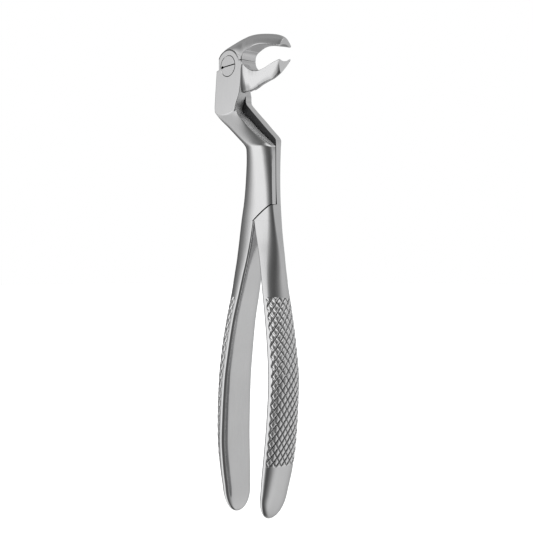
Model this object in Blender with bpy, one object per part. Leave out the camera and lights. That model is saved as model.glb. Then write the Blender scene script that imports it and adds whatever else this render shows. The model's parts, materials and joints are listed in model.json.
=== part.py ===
"""Lower molar extraction forceps of the English pattern, hawk's bill form, with a lap joint and a pivot screw.

The part stands upright. +Z runs along the handles towards the joint, +X is the way the beaks point, and the
hinge axis lies along Y, with the screw head facing -Y. The origin is at the bottom centre of the closed
forceps. Outlines are in millimetres from the hinge axis, (0, 0), and from the mating plane, Y = 0.
"""

import math

import bmesh
import bpy
import numpy as np

# ---- driving dimensions, mm and degrees ----
PIVOT_X = -10.75  # hinge axis from the origin
PIVOT_Z = 164.2
CHEEK_HALF = 3.8  # each cheek of the lap joint is this thick
DISC_RADIUS = 5.85  # round end of each cheek, turned about the hinge axis
EDGE_BEVEL = 0.25  # on the cheeks' outer edges
LAP_GAP = 0.06  # on each side of the mating plane
RUN_GAP = 0.08  # between a disc and the shoulder round it
SPLIT_Z = 1.45  # where the two beak roots meet when closed
OPENING = 22.0  # degrees
SCREW_HEAD_RADIUS = 3.8
SCREW_HEAD_DEPTH = 1.5
SCREW_SHANK_RADIUS = 2.3
SCREW_SLOT_WIDTH = 0.5
SCREW_SLOT_DEPTH = 0.7
SCREW_SLOT_TILT = 4.0
SHOULDER_TOP = -51.8  # where the halves cross from the arms to the handles
CROTCH = -57.5
CROTCH_X = 13.4
HANDLE_END = -164.2
END_ROUND = 9.5  # length of the rounded end of a handle

# ---- outlines, mm: (height, place) ----
# Front half: outer edge, then the inner edge of its arm, then the inner face of its handle.
FRONT_OUTER = [
    (-9, -6.8), (-14, -7.2), (-16.6, -7.1), (-18.6, -5.4), (-23.0, 0.1), (-27.5, 5.4), (-29.4, 7.4),
    (-30.6, 8.2), (-31.4, 8.35), (-33, 8.4), (-35, 8.35), (-40, 7.95), (-50, 6.7), (-60, 4.45),
    (-71.5, 2.4), (-82.6, 0.6), (-93.7, -1.8), (-104.7, -3.9), (-115.8, -4.9), (-126.9, -5.1),
    (-138, -4.5), (-149, -2.9), (-157, -1.5), (-164.2, -0.4),
]
FRONT_ARM_INNER = [
    (-9, 5.4), (-14.1, 4.1), (-15.5, 3.85), (-17, 4.15), (-20.1, 7.9), (-24.7, 13.15), (-28.6, 18.3),
    (-30.2, 20.4), (-30.9, 21.1), (-31.4, 21.25), (-43, 21.35), (-60, 21.6),
]
FRONT_HANDLE_INNER = [
    (-57.5, 13.34), (-60.4, 13.0), (-66, 12.1), (-71.5, 11.1), (-77, 9.8), (-82.6, 8.55), (-93.7, 5.75),
    (-104.7, 3.85), (-115.8, 2.35), (-126.9, 1.65), (-138, 1.35), (-149, 2.0), (-159.4, 2.85),
    (-164.2, 3.1),
]
# Rear half, the same three.
REAR_OUTER = [
    (-6, 4.6), (-9.5, 5.1), (-11.2, 5.55), (-13.9, 5.75), (-16.3, 7.9), (-21.2, 13.15), (-25.9, 18.3),
    (-27.65, 20.35), (-28.8, 21.2), (-31, 21.35), (-43, 21.4), (-50, 21.65), (-59, 22.6), (-69.8, 24.2),
    (-80.5, 25.3), (-91.3, 26.9), (-102, 28.2), (-112.7, 29.0), (-123.4, 28.2), (-134.2, 27.0),
    (-144.9, 25.2), (-155.6, 22.3), (-164.2, 19.7),
]
REAR_ARM_INNER = [
    (-6, -5.0), (-13, -5.3), (-15.5, -4.9), (-18.9, -1.9), (-23.5, 3.2), (-27.65, 7.6), (-29.5, 8.5),
    (-34, 8.65), (-40, 8.3), (-50, 7.0), (-60, 5.5),
]
REAR_HANDLE_INNER = [
    (-57.5, 13.46), (-64.4, 14.9), (-69.8, 16.3), (-75.2, 17.45), (-80.5, 18.4), (-91.3, 20.4),
    (-102, 22.0), (-112.7, 23.0), (-118, 23.05), (-128.8, 22.45), (-139.5, 21.3), (-150.2, 19.5),
    (-164.2, 16.9),
]
# Both halves: depth from the mating plane of the crest, and of the flat side edges.
CREST = [
    (-6, 3.6), (-17, 3.55), (-21, 3.75), (-27, 3.8), (-31, 3.6), (-36, 3.5), (-52, 3.5), (-58, 3.6),
    (-64, 3.8), (-70, 4.25), (-82, 5.15), (-94, 5.8), (-105, 6.3), (-116, 6.7), (-127, 6.95),
    (-138, 7.1), (-146, 6.9), (-154.7, 6.25),
]
FRONT_SIDE = [
    (-9, 3.4), (-16, 3.4), (-20, 3.2), (-26, 2.8), (-29.5, 2.0), (-31.5, 1.4), (-36, 1.4), (-52, 1.4),
    (-60, 0.9), (-72, 0.0),
]
REAR_SIDE = [
    (-6, 2.9), (-14, 2.9), (-20, 3.1), (-26, 2.8), (-29.5, 2.0), (-31.5, 1.8), (-36, 1.75), (-52, 1.75),
    (-60, 1.3), (-74, 0.0),
]
BULGE_POWER = [(-6, 2.2), (-52, 2.2), (-64, 2.2), (-90, 2.35), (-164.2, 2.35)]
# Handles only: how far the rounding of the inner edges reaches from the inner face.
INNER_ROUND = [(-57.5, 0.5), (-70, 1.0), (-90, 1.8), (-120, 2.4), (-164.2, 2.4)]

# Mouth of the beaks, seen along the hinge axis, (x, z), from the upper tip round the throat to the lower.
UPPER_INNER = [
    (7.1, 2.6), (8.0, 3.9), (9.3, 4.7), (11.3, 5.35), (13.4, 5.8), (15.4, 5.9), (17.5, 5.7),
    (21.5, 4.85), (25.6, 3.85),
]
LOWER_INNER = [
    (6.95, 1.2), (7.8, -0.5), (9.3, -1.9), (11.4, -2.9), (13, -3.3), (15.5, -3.45), (17, -3.2),
    (19, -2.7), (21.5, -1.85), (25.6, -0.95),
]
UPPER_OUTER = [
    (9.2, 10.25), (11.8, 10.3), (14.4, 10.1), (18.5, 9.5), (22.0, 8.65), (24.6, 7.65), (26.1, 6.8),
]
LOWER_OUTER = [
    (5.0, -10.7), (7.9, -10.3), (10.6, -9.7), (14.5, -8.45), (19.6, -7.1), (22.2, -6.35), (24.6, -5.3),
    (25.85, -4.5),
]
LAP_CORNER = [(5.38, 2.3), (5.5, 1.98), (5.68, 1.68), (5.94, 1.47), (6.3, SPLIT_Z - RUN_GAP)]
THROAT = [
    (11.2, 4.95), (9.3, 4.65), (8.0, 3.9), (7.35, 2.85), (7.2, 1.6), (7.3, 0.5), (7.8, -0.5),
    (9.3, -1.9), (11.2, -2.65),
]
THROAT_DEPTH = 9.0  # up to here the throat's cutter shapes the mouth
UPPER_REACH = 26.1  # beak tips from the hinge axis
LOWER_REACH = 25.85
UPPER_HALF_WIDTH = [(-6.0, 3.78), (6.0, 3.78), (9.0, 3.4), (13.0, 3.1), (26.1, 3.0)]
LOWER_HALF_WIDTH = [(5.0, 3.72), (7.0, 3.7), (7.6, 3.5), (9.5, 3.3), (13.0, 3.1), (25.7, 2.95)]
LOWER_POWER = [(5.0, 7.0), (7.0, 6.0), (7.3, 4.2), (7.8, 3.0), (8.6, 2.5), (10.5, 2.4), (25.7, 2.4)]
BEAK_LIP = 0.25  # chamfer along the edges of each beak's inner face
# depth of the groove along each beak's inner face
HOLLOW = [
    (8.0, 0.0), (14.0, 0.5), (20.0, 0.8), (25.6, 0.9),
]
# Root of the upper beak: where its flanks start to round over, and its crest.
ROOT_BASE = [(-5.3, 2.0), (-4.4, 3.2), (-1.5, 4.8), (1.3, 5.0), (4.0, 4.3), (7.1, 2.6)]
ROOT_CREST = [(-5.3, 4.1), (-5.0, 5.0), (-4.2, 6.0), (-1.5, 7.2), (1.3, 8.15), (4.0, 9.1), (6.6, 9.85)]
JOINT_LEFT = -5.05  # both discs are ground flat here
REAR_NECK = [
    (5.55, -2.0), (5.3, -3.2), (4.9, -5.0), (4.7, -7.0), (5.1, -9.5), (5.55, -11.2), (5.75, -13.9),
    (7.9, -16.3),
]
CHEEK_LEFT = [(-5.05, -0.85), (-6.3, -1.2), (-6.55, -4.3), (-7.1, -9.9), (-7.45, -14.6)]
CHEEK_END = [(-7.3, -16.2), (-6.3, -17.3), (-4.3, -17.8), (-1.5, -17.9), (1.2, -17.55), (3.1, -16.95)]
CHEEK_RIGHT = [
    (3.75, -16.2), (4.1, -14.6), (5.45, -11.8), (6.1, -10.2), (6.6, -7.8), (6.95, -5.0), (7.1, -1.5),
]

ACROSS = 14  # points across one side of a section
BEAK_RINGS = 16
BEAK_ROUND = 14
DISC_STEPS = 64


def smooth(knots, at):
    """The value at a place, on a modified Akima curve through the knots."""
    xs = np.array([k[0] for k in knots], float)
    ys = np.array([k[1] for k in knots], float)
    if xs[0] > xs[-1]:
        xs, ys = xs[::-1], ys[::-1]
    if at <= xs[0]:
        return float(ys[0])
    if at >= xs[-1]:
        return float(ys[-1])
    width = np.diff(xs)
    slope = np.diff(ys) / width
    first, last = slope[0] - slope[min(1, len(slope) - 1)], slope[-1] - slope[max(-2, -len(slope))]
    before = [slope[0] + 2 * first, slope[0] + first]
    after = [slope[-1] + last, slope[-1] + 2 * last]
    m = np.array([*before, *slope, *after])
    change = np.abs(np.diff(m)) + np.abs(m[1:] + m[:-1]) / 2
    left, right = change[:-2], change[2:]
    total = left + right
    tangent = np.where(total > 1e-12, (right * m[1:-2] + left * m[2:-1]) / np.maximum(total, 1e-12), 0.0)
    i = int(np.searchsorted(xs, at)) - 1
    t = (at - xs[i]) / width[i]
    return float(
        (1 + 2 * t) * (1 - t) ** 2 * ys[i]
        + t * (1 - t) ** 2 * width[i] * tangent[i]
        + t * t * (3 - 2 * t) * ys[i + 1]
        + t * t * (t - 1) * width[i] * tangent[i + 1]
    )


def superellipse(part, power):
    """Height of a superellipse of half-width and height 1 at a share of its half-width."""
    return max(0.0, 1.0 - min(1.0, abs(part)) ** power) ** (1.0 / power)


def spread(count):
    """Shares from 0 to 1, closer together at both ends."""
    return [(1 - math.cos(math.pi * i / (count - 1))) / 2 for i in range(count)]


def placed(points):
    """Points in mm from the hinge axis and the mating plane, in metres in the part's frame."""
    return [((x + PIVOT_X) / 1000, y / 1000, (z + PIVOT_Z) / 1000) for x, y, z in points]


def mesh_object(name, points, faces):
    mesh = bpy.data.meshes.new(name)
    mesh.from_pydata(placed(points), [], faces)
    work = bmesh.new()
    work.from_mesh(mesh)
    bmesh.ops.remove_doubles(work, verts=work.verts, dist=2e-6)
    bmesh.ops.dissolve_degenerate(work, edges=work.edges, dist=1e-6)
    bmesh.ops.recalc_face_normals(work, faces=work.faces)
    work.to_mesh(mesh)
    work.free()
    obj = bpy.data.objects.new(name, mesh)
    bpy.context.scene.collection.objects.link(obj)
    return obj


def loft(name, rings):
    """A closed solid through rings of points, with flat ends."""
    count = len(rings[0])
    points = [p for ring in rings for p in ring]
    faces = [list(range(count)), list(range(len(points) - 1, len(points) - 1 - count, -1))]
    for k in range(len(rings) - 1):
        for i in range(count):
            j = (i + 1) % count
            faces.append([k * count + i, k * count + j, (k + 1) * count + j, (k + 1) * count + i])
    return mesh_object(name, points, faces)


def inset(outline, by):
    """The closed outline, drawn in by this much."""
    pts = [np.array(p, float) for p in outline]
    area = sum(a[0] * b[1] - b[0] * a[1] for a, b in zip(pts, [*pts[1:], pts[0]]))
    out = []
    for a, b, c in zip([pts[-1], *pts[:-1]], pts, [*pts[1:], pts[0]]):
        first, second = (b - a) / np.linalg.norm(b - a), (c - b) / np.linalg.norm(c - b)
        normal = np.array([-(first + second)[1], (first + second)[0]]) * math.copysign(1, area)
        normal /= max(1e-9, np.linalg.norm(normal))
        side = np.array([-first[1], first[0]]) * math.copysign(1, area)
        out.append(b + normal * by / max(0.5, float(normal @ side)))
    return [(float(p[0]), float(p[1])) for p in out]


def slab(name, outline, y_low, y_high, bevel_low=0.0, bevel_high=0.0):
    """An outline in (x, z), carried from one y to another, with chamfers where asked for."""
    sections = [(y_low, outline), (y_high, outline)]
    if bevel_low:
        sections[0:1] = [(y_low, inset(outline, bevel_low)), (y_low + bevel_low, outline)]
    if bevel_high:
        sections[-1:] = [(y_high - bevel_high, outline), (y_high, inset(outline, bevel_high))]
    return loft(name, [[(x, y, z) for x, z in points] for y, points in sections])


def arc(radius, first, last, steps=DISC_STEPS):
    """Points round the hinge axis, angles in degrees from +X towards +Z."""
    turns = [math.radians(first + (last - first) * i / steps) for i in range(steps + 1)]
    return [(radius * math.cos(t), radius * math.sin(t)) for t in turns]


def rounded(points, steps=4):
    """A smooth curve through the points, as a finer list of points."""
    pts = [np.array(p, float) for p in points]
    pts = [2 * pts[0] - pts[1], *pts, 2 * pts[-1] - pts[-2]]
    out = []
    for a, b, c, d in zip(pts, pts[1:], pts[2:], pts[3:]):
        for i in range(steps):
            t = i / steps
            cubic = (3 * b - a - 3 * c + d) * t**3
            out.append(0.5 * (2 * b + (c - a) * t + (2 * a - 5 * b + 4 * c - d) * t**2 + cubic))
    return [(float(p[0]), float(p[1])) for p in [*out, pts[-2]]]


def cut(target, tool, operation="DIFFERENCE"):
    """Adds a Boolean and hides its tool."""
    step = target.modifiers.new(tool.name, "BOOLEAN")
    step.operation = operation
    step.solver = "EXACT"
    step.object = tool
    tool.hide_render = True
    tool.display_type = "WIRE"


# ---- arms and handles ----
def shoulder_x(level, top_x):
    """Where the shoulder line crosses this level, from an arm's edge down to the handles' crotch."""
    share = min(1.0, max(0.0, (SHOULDER_TOP - level) / (SHOULDER_TOP - CROTCH)))
    return top_x + (CROTCH_X - top_x) * (share**0.9)


def end_share(level):
    """1 along a handle, falling to 0 round its end."""
    into = (HANDLE_END + END_ROUND - level) / END_ROUND
    return 1.0 if into <= 0 else math.sqrt(max(0.0, 1 - into**2.2))


def half_section(level, outer, arm_inner, handle_inner, side):
    """One level of a half as (x, y) points. side is 1 for the front half, and -1 for the rear one, which is
    turned round Z."""
    outer_x = side * smooth(outer, level)
    crest, power = smooth(CREST, level), smooth(BULGE_POWER, level)
    flat = smooth(FRONT_SIDE if side > 0 else REAR_SIDE, level)
    in_handle = level <= CROTCH
    if in_handle:
        full_inner = side * smooth(handle_inner, level)
        reach = smooth(INNER_ROUND, level)
        ridge, inner_flat, inner_power = full_inner - reach, 0.0, 3.0
        own_inner = other_inner = full_inner
    else:
        full_inner = side * smooth(arm_inner, level)
        lean = min(1.0, max(0.0, (SHOULDER_TOP - level) / (SHOULDER_TOP - CROTCH)))
        middle = (outer_x + full_inner) / 2
        ridge = middle + (side * CROTCH_X - 0.5 - middle) * lean
        inner_flat, inner_power = flat, power
        own_inner = min(full_inner, side * shoulder_x(level, side * full_inner) - LAP_GAP)
        other_inner = min(side * CROTCH_X, max(outer_x, side * shoulder_x(level, side * outer_x) - LAP_GAP))
        if level > SHOULDER_TOP:
            own_inner, other_inner = full_inner, outer_x
    share = end_share(level)
    if share < 1.0:
        centre = (outer_x + full_inner) / 2
        outer_x, full_inner, ridge = (centre + (v - centre) * share for v in (outer_x, full_inner, ridge))
        own_inner = other_inner = full_inner
        crest *= share

    def depth(x):
        if x <= ridge:
            return flat + (crest - flat) * superellipse((ridge - x) / (ridge - outer_x), power)
        part = (x - ridge) / (full_inner - ridge)
        return inner_flat + (crest - inner_flat) * superellipse(part, inner_power)

    mate = 0.0 if in_handle else -LAP_GAP
    front = [outer_x + (own_inner - outer_x) * s for s in spread(ACROSS)]
    points = [(x, -max(depth(x), -mate)) for x in front]
    points += [(own_inner + (other_inner - own_inner) * i / 4, mate) for i in range(5)]
    if other_inner > outer_x:
        rear = [other_inner + (outer_x - other_inner) * s for s in spread(ACROSS)]
        points += [(x, depth(x)) for x in rear]
    else:
        points += [(outer_x, mate)] * ACROSS
    return [(side * x, side * y, level) for x, y in points]


def levels(top):
    """Levels from the top of an arm down to the handle's end, closer where the shape turns."""
    upper = list(np.linspace(top, -27.0, 10))
    bend = list(np.linspace(-28.2, -36.0, 9))
    arm = [-41.0, -46.5, SHOULDER_TOP + 0.01, SHOULDER_TOP - 0.01, -53.2, -54.6, -56.0]
    arm += [CROTCH + 0.01, CROTCH - 0.01]
    handle = list(np.linspace(-60.0, HANDLE_END + END_ROUND, 22))
    turns = [math.radians(a) for a in (15, 30, 45, 58, 70, 80, 86, 89.4)]
    end = [HANDLE_END + END_ROUND * (1 - math.sin(turn)) for turn in turns]
    return upper + bend + arm + handle + end


def arm_and_handle(name, outer, arm_inner, handle_inner, side, top):
    return loft(name, [half_section(z, outer, arm_inner, handle_inner, side) for z in levels(top)])


# ---- beaks ----
def d_ring(x, base, crest, half, power, place):
    """One section of a beak, its round side away from the mouth and a groove along its inner face. Near the
    throat it is left solid past the inner face, for the throat's own cutter."""
    up = math.copysign(1.0, crest - base)
    solid = min(1.0, max(0.0, (THROAT_DEPTH - x) / 0.6))
    floor = max(base - 1.0, SPLIT_Z + RUN_GAP) if up > 0 else min(base + 1.0, SPLIT_Z - RUN_GAP)
    lip = BEAK_LIP * (1 - solid)
    ring = []
    for i in range(BEAK_ROUND + 1):
        turn = math.pi * i / BEAK_ROUND
        out = abs(math.sin(turn)) ** (2 / power)
        across = -half * math.copysign(abs(math.cos(turn)) ** (2 / power), math.cos(turn))
        ring.append((across, base + up * lip + (crest - base - up * lip) * out))
    edge = half - lip
    for i in range(7):
        across = edge * (1 - i / 3)
        open_z = base + up * smooth(HOLLOW, x) * (1 - (across / edge) ** 2)
        ring.append((across, open_z + (floor - open_z) * solid))
    return [(place(x, z), y, z) for y, z in ring]


def lower_beak():
    """The front half's beak. Its root flares into the front cheek's right edge."""
    edge = [(z, x) for x, z in CHEEK_RIGHT]

    def place(x, z):
        nearing = max(0.0, 1 - max(0.0, x - 7.0) / 6.0) ** 2
        return x + (smooth(edge, z) - 7.05) * nearing

    shares = [i / BEAK_RINGS for i in range(BEAK_RINGS + 1)]
    stations = [6.2, 7.0, 7.4, 7.9, 8.4, 8.7]
    stations += [9.01 + (LOWER_REACH - 9.01) * (1 - (1 - t) ** 1.3) for t in shares]
    rings = []
    for x in stations:
        half, power = smooth(LOWER_HALF_WIDTH, x), smooth(LOWER_POWER, x)
        nearing = max(0.0, (x - (LOWER_REACH - 1.0)) / 1.0)
        crest = smooth(LOWER_OUTER, x) + 0.35 * nearing**2
        rings.append(d_ring(x, smooth(LOWER_INNER, x), crest, half * (1 - 0.1 * nearing**2), power, place))
    return loft("lower_beak_form", rings)


def upper_beak():
    """The rear half's beak, with its root over the round end of the front cheek."""
    stations = [JOINT_LEFT - 0.17, -4.95, -4.4, -3.5, -2.0, 0.0, 2.0, 4.0, 5.6, 6.8, 7.6, 8.4, 8.7]
    shares = [i / BEAK_RINGS for i in range(BEAK_RINGS + 1)]
    stations += [9.01 + (UPPER_REACH - 9.01) * (1 - (1 - t) ** 1.3) for t in shares]
    rings = []
    for x in stations:
        nearing = max(0.0, (x - (UPPER_REACH - 1.0)) / 1.0)
        base = smooth([*ROOT_BASE, *UPPER_INNER[1:]], x)
        crest = smooth([*ROOT_CREST, *UPPER_OUTER], x) - 0.35 * nearing**2
        half = smooth(UPPER_HALF_WIDTH, x) * (1 - 0.1 * nearing**2)
        rings.append(d_ring(x, base, crest, half, 2.4, lambda x, z: x))
    return loft("upper_beak_form", rings)


# ---- joint ----
def turned(points, angle):
    c, s = math.cos(math.radians(angle)), math.sin(math.radians(angle))
    return [(c * x - s * z, s * x + c * z) for x, z in points]


def throat_cutter(name):
    """The round end of the mouth, with a chamfer at each side."""
    mouth = rounded(THROAT, 5)
    edges = [(-CHEEK_HALF - 0.5, 0.5 + EDGE_BEVEL), (-CHEEK_HALF + EDGE_BEVEL, 0.0)]
    edges += [(-y, grow) for y, grow in edges[::-1]]
    return loft(name, [[(x, y, z) for x, z in inset(mouth, -grow)] for y, grow in edges])


def screw_outline(grow=0.0, beyond=0.0):
    """Profile of the pivot screw as (radius, y), from the head's face to the far end. Its holes are larger
    by grow, and go beyond the cheeks."""
    head, shank = SCREW_HEAD_RADIUS + grow, SCREW_SHANK_RADIUS + grow
    step = -CHEEK_HALF + SCREW_HEAD_DEPTH + grow
    return [(head, -CHEEK_HALF - beyond), (head, step), (shank, step), (shank, CHEEK_HALF + beyond)]


def turned_solid(name, profile, steps=48):
    """A solid of revolution about the hinge axis."""
    turns = [2 * math.pi * i / steps for i in range(steps)]
    return loft(name, [[(r * math.cos(t), y, r * math.sin(t)) for t in turns] for r, y in profile])


def steel(name, colour, roughness):
    material = bpy.data.materials.new(name)
    material.use_nodes = True
    shader = material.node_tree.nodes["Principled BSDF"]
    shader.inputs["Base Color"].default_value = (*colour, 1.0)
    shader.inputs["Metallic"].default_value = 1.0
    shader.inputs["Roughness"].default_value = roughness
    return material


def front_half():
    """Front cheek, lower beak, front arm and left handle, in one forging."""
    disc = [(max(x, JOINT_LEFT), z) for x, z in arc(DISC_RADIUS, 13.4, 188, 48)]
    cheek = disc + CHEEK_LEFT + rounded(CHEEK_END) + CHEEK_RIGHT
    cheek += [(7.7, 0.3), (7.7, SPLIT_Z - RUN_GAP)]
    body = slab("front_half", cheek, -CHEEK_HALF, CHEEK_HALF, EDGE_BEVEL)
    cut(body, lower_beak(), "UNION")
    notch = turned([(x + RUN_GAP, z) for x, z in REAR_NECK], OPENING + 1.0)
    space = [*arc(DISC_RADIUS + RUN_GAP, OPENING - 19.0, 160, 52), (-12, 2), (-12, -30), (12, -30)]
    cut(body, slab("rear_half_swing", [*space, *notch[::-1]], -LAP_GAP, CHEEK_HALF + 3))
    corner = [(5.2, 1.0), (5.2, 2.6), *LAP_CORNER, (6.3, 1.0)]
    cut(body, slab("lap_corner", corner, -CHEEK_HALF + 0.02, -LAP_GAP), "UNION")
    arm = arm_and_handle("front_arm_form", FRONT_OUTER, FRONT_ARM_INNER, FRONT_HANDLE_INNER, 1, -9.0)
    cut(body, arm, "UNION")
    cut(body, throat_cutter("front_throat"))
    cut(body, turned_solid("front_screw_hole", screw_outline(RUN_GAP, 0.5)))
    body.data.materials.append(steel("polished_steel", (0.62, 0.62, 0.63), 0.22))
    return body


def rear_half():
    """Rear cheek, upper beak, rear arm and right handle, in one forging."""
    top = rounded(ROOT_BASE)
    throat = [(7.7, SPLIT_Z + RUN_GAP)]
    right = arc(DISC_RADIUS, 15.2, -20, 14)
    neck = [(4.9, -3.6), (4.2, -5.5), (4.0, -8.0), (4.3, -11.5)]
    end = rounded([(4.4, -13.6), (3.6, -15.2), (1.6, -16.1), (-0.8, -16.2), (-3.0, -15.7), (-4.7, -14.4)])
    left = [(-5.3, -12.5), (-5.15, -6.0), (JOINT_LEFT, 0.0)]
    cheek = [*top, *throat, *right, *neck, *end, *left]
    body = slab("rear_half", cheek, -CHEEK_HALF, CHEEK_HALF, 0.0, EDGE_BEVEL)
    cut(body, upper_beak(), "UNION")
    corner = [(x + RUN_GAP, z + 2 * RUN_GAP) for x, z in LAP_CORNER[::-1]]
    space = [*corner, *arc(DISC_RADIUS + RUN_GAP, 23, 154, 48), (-12, 3), (-12, -30), (12, -30)]
    space.append((12, SPLIT_Z + RUN_GAP))
    cut(body, slab("front_half_swing", space, -CHEEK_HALF - 3, LAP_GAP))
    arm = arm_and_handle("rear_arm_form", REAR_OUTER, REAR_ARM_INNER, REAR_HANDLE_INNER, -1, -6.0)
    cut(body, arm, "UNION")
    cut(body, throat_cutter("rear_throat"))
    cut(body, turned_solid("rear_screw_hole", screw_outline(RUN_GAP / 2, 1.14)))
    body.data.materials.append(steel("polished_steel", (0.62, 0.62, 0.63), 0.22))
    return body


def pivot_screw():
    """Slotted screw, flush with both cheeks. The front half turns on it, and the rear half holds it."""
    body = turned_solid("pivot_screw", screw_outline())
    half = SCREW_SLOT_WIDTH / 2
    slot = turned([(-4.5, -half), (4.5, -half), (4.5, half), (-4.5, half)], SCREW_SLOT_TILT)
    cut(body, slab("screw_slot", slot, -CHEEK_HALF - 1, -CHEEK_HALF + SCREW_SLOT_DEPTH))
    body.data.materials.append(steel("screw_steel", (0.58, 0.58, 0.59), 0.3))
    return body


for obj in list(bpy.data.objects):
    bpy.data.objects.remove(obj, do_unlink=True)
front_half()
rear_half()
pivot_screw()
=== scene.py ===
"""Looks of the extraction forceps: finely meshed halves with real knurling, a screw with its slot and
punch mark, and a plain studio.

Outlines are in millimetres from the hinge axis, (0, 0), and from the mating plane, Y = 0. The front half
carries the lower beak and the left handle, and the rear half the upper beak and the right handle. Both arms
with their handles come from the same functions, the rear one turned half round Z.
"""

import json
import math

import bmesh
import bpy
import numpy as np
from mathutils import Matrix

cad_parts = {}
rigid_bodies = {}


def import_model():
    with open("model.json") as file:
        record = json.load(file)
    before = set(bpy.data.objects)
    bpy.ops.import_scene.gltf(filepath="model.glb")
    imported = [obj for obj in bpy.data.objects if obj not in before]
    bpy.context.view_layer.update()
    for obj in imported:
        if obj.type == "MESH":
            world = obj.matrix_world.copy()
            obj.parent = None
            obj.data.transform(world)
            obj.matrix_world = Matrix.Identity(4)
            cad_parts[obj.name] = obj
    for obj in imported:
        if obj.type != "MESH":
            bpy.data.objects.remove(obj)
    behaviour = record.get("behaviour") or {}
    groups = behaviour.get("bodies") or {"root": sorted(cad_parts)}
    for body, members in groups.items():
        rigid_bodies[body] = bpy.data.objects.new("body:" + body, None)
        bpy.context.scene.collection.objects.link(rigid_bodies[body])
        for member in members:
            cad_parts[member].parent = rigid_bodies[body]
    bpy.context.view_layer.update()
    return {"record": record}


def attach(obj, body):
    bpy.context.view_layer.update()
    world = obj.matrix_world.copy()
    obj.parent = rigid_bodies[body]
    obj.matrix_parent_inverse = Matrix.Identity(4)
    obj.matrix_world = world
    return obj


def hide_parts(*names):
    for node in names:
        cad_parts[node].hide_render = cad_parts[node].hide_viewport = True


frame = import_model()

# ---- driving dimensions, mm and degrees ----
hinge = frame["record"]["behaviour"]["joints"][0]["pos_m"]
PIVOT_X = hinge[0] * 1000
PIVOT_Z = hinge[2] * 1000
CHEEK_HALF = 3.8  # each cheek of the lap joint is this thick
DISC_RADIUS = 5.85  # round end of each cheek, turned about the hinge axis
LAP_GAP = 0.06  # on each side of the mating plane
RUN_GAP = 0.08  # between a disc and the shoulder round it
SPLIT_Z = 1.45  # where the two beak roots meet when closed
OPENING = 22.0  # degrees
SCREW_HEAD_RADIUS = 3.8
SCREW_HEAD_DEPTH = 1.5
SCREW_SHANK_RADIUS = 2.3
SCREW_SLOT_WIDTH = 0.42
SCREW_SLOT_DEPTH = 0.7
SCREW_SLOT_TILT = 4.0
SHOULDER_TOP = -51.8  # where the halves cross from the arms to the handles
CROTCH = -57.5
CROTCH_X = 13.4
HANDLE_END = -164.2
END_ROUND = 9.5  # length of the rounded end of a handle

# ---- outlines, mm: (height, place) ----
# Front half: outer edge, then the inner edge of its arm, then the inner face of its handle.
FRONT_OUTER = [
    (-9, -6.8), (-14, -7.2), (-16.6, -7.1), (-18.6, -5.4), (-23.0, 0.1), (-27.5, 5.4), (-29.4, 7.4),
    (-30.6, 8.2), (-31.4, 8.35), (-33, 8.4), (-35, 8.35), (-40, 7.95), (-50, 6.7), (-60, 4.45),
    (-71.5, 2.4), (-82.6, 0.6), (-93.7, -1.8), (-104.7, -3.9), (-115.8, -4.9), (-126.9, -5.1),
    (-138, -4.5), (-149, -2.9), (-157, -1.5), (-164.2, -0.4),
]
FRONT_ARM_INNER = [
    (-9, 5.4), (-14.1, 4.1), (-15.5, 3.85), (-17, 4.15), (-20.1, 7.9), (-24.7, 13.15), (-28.6, 18.3),
    (-30.2, 20.4), (-30.9, 21.1), (-31.4, 21.25), (-43, 21.35), (-60, 21.6),
]
FRONT_HANDLE_INNER = [
    (-57.5, 13.34), (-60.4, 13.0), (-66, 12.1), (-71.5, 11.1), (-77, 9.8), (-82.6, 8.55), (-93.7, 5.75),
    (-104.7, 3.85), (-115.8, 2.35), (-126.9, 1.65), (-138, 1.35), (-149, 2.0), (-159.4, 2.85),
    (-164.2, 3.1),
]
# Rear half, the same three.
REAR_OUTER = [
    (-6, 4.6), (-9.5, 5.1), (-11.2, 5.55), (-13.9, 5.75), (-16.3, 7.9), (-21.2, 13.15), (-25.9, 18.3),
    (-27.65, 20.35), (-28.8, 21.2), (-31, 21.35), (-43, 21.4), (-50, 21.65), (-59, 22.6), (-69.8, 24.2),
    (-80.5, 25.3), (-91.3, 26.9), (-102, 28.2), (-112.7, 29.0), (-123.4, 28.2), (-134.2, 27.0),
    (-144.9, 25.2), (-155.6, 22.3), (-164.2, 19.7),
]
REAR_ARM_INNER = [
    (-6, -5.0), (-13, -5.3), (-15.5, -4.9), (-18.9, -1.9), (-23.5, 3.2), (-27.65, 7.6), (-29.5, 8.5),
    (-34, 8.65), (-40, 8.3), (-50, 7.0), (-60, 5.5),
]
REAR_HANDLE_INNER = [
    (-57.5, 13.46), (-64.4, 14.9), (-69.8, 16.3), (-75.2, 17.45), (-80.5, 18.4), (-91.3, 20.4),
    (-102, 22.0), (-112.7, 23.0), (-118, 23.05), (-128.8, 22.45), (-139.5, 21.3), (-150.2, 19.5),
    (-164.2, 16.9),
]
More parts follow.
